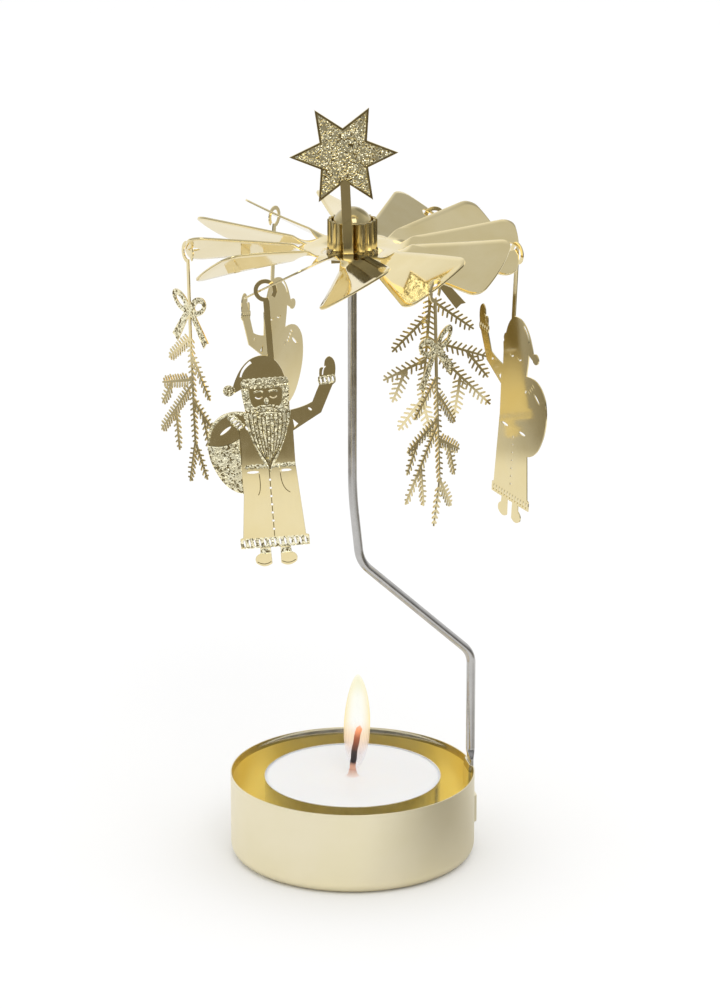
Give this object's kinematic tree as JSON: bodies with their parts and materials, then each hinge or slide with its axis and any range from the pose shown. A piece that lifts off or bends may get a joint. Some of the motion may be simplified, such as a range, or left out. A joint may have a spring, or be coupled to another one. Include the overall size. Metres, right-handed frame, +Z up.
{
  "type": "rotating candle holder",
  "caption": "Tealight tray with a bent wire stand; a wheel of twisted vanes turns on its point in the candle's warm air and carries a star and hanging plates.",
  "frame": {"origin": "centre of the tray's flat underside", "axes": "+Z up along the rotor's axis, +X towards the wire's foot in the tray's rim"},
  "size_m": [0.0742, 0.0831, 0.1638],
  "materials": {
    "satin_gold": "satin champagne gold lacquer over drawn sheet",
    "polished_gold": "mirror bright gold sheet with etched and stippled areas",
    "bright_steel": "bright drawn wire",
    "tealight_foil": "thin bright pressed foil",
    "candle_wax": "smooth white paraffin",
    "wick_cotton": "charred braided cotton"
  },
  "bodies": {
    "base": {"cup": "satin_gold", "wire_stand": "bright_steel"},
    "tealight": {"tealight_cup": "tealight_foil", "tealight_wax": "candle_wax", "wick": "wick_cotton", "wick_sustainer": "tealight_foil"},
    "rotor": {"vane_wheel": "polished_gold", "hub_crown": "polished_gold", "bearing_thimble": "polished_gold", "star_finial": "polished_gold"},
    "figure_a_plate": {"figure_a": "polished_gold"},
    "sprig_a_plate": {"sprig_a": "polished_gold"},
    "figure_b_plate": {"figure_b": "polished_gold"},
    "sprig_b_plate": {"sprig_b": "polished_gold"},
    "figure_c_plate": {"figure_c": "polished_gold"},
    "sprig_c_plate": {"sprig_c": "polished_gold"}
  },
  "joints": [
    {"name": "rotor_spin", "type": "hinge", "parent": "base", "child": "rotor", "pos_m": [0, 0, 0.14125], "axis": [0, 0, 1], "continuous": true},
    {"name": "tealight_lift", "type": "slide", "parent": "base", "child": "tealight", "axis": [0, 0, 1], "range_m": [0, 0.02]},
    {"name": "figure_a_swing", "type": "hinge", "parent": "rotor", "child": "figure_a_plate", "pos_m": [0.03303, -0.00749, 0.13195], "axis": [0.9455, 0.3256, 0], "range_deg": [-20, 20]},
    {"name": "sprig_a_swing", "type": "hinge", "parent": "rotor", "child": "sprig_a_plate", "pos_m": [0.023, 0.02486, 0.13195], "axis": [0.1908, 0.9816, 0], "range_deg": [-20, 20]},
    {"name": "figure_b_swing", "type": "hinge", "parent": "rotor", "child": "figure_b_plate", "pos_m": [-0.01003, 0.03235, 0.13195], "axis": [-0.7547, 0.6561, 0], "range_deg": [-20, 20]},
    {"name": "sprig_b_swing", "type": "hinge", "parent": "rotor", "child": "sprig_b_plate", "pos_m": [-0.03303, 0.00749, 0.13195], "axis": [-0.9455, -0.3256, 0], "range_deg": [-20, 20]},
    {"name": "figure_c_swing", "type": "hinge", "parent": "rotor", "child": "figure_c_plate", "pos_m": [-0.023, -0.02486, 0.13195], "axis": [-0.1908, -0.9816, 0], "range_deg": [-20, 20]},
    {"name": "sprig_c_swing", "type": "hinge", "parent": "rotor", "child": "sprig_c_plate", "pos_m": [0.01003, -0.03235, 0.13195], "axis": [0.7547, -0.6561, 0], "range_deg": [-20, 20]}
  ]
}
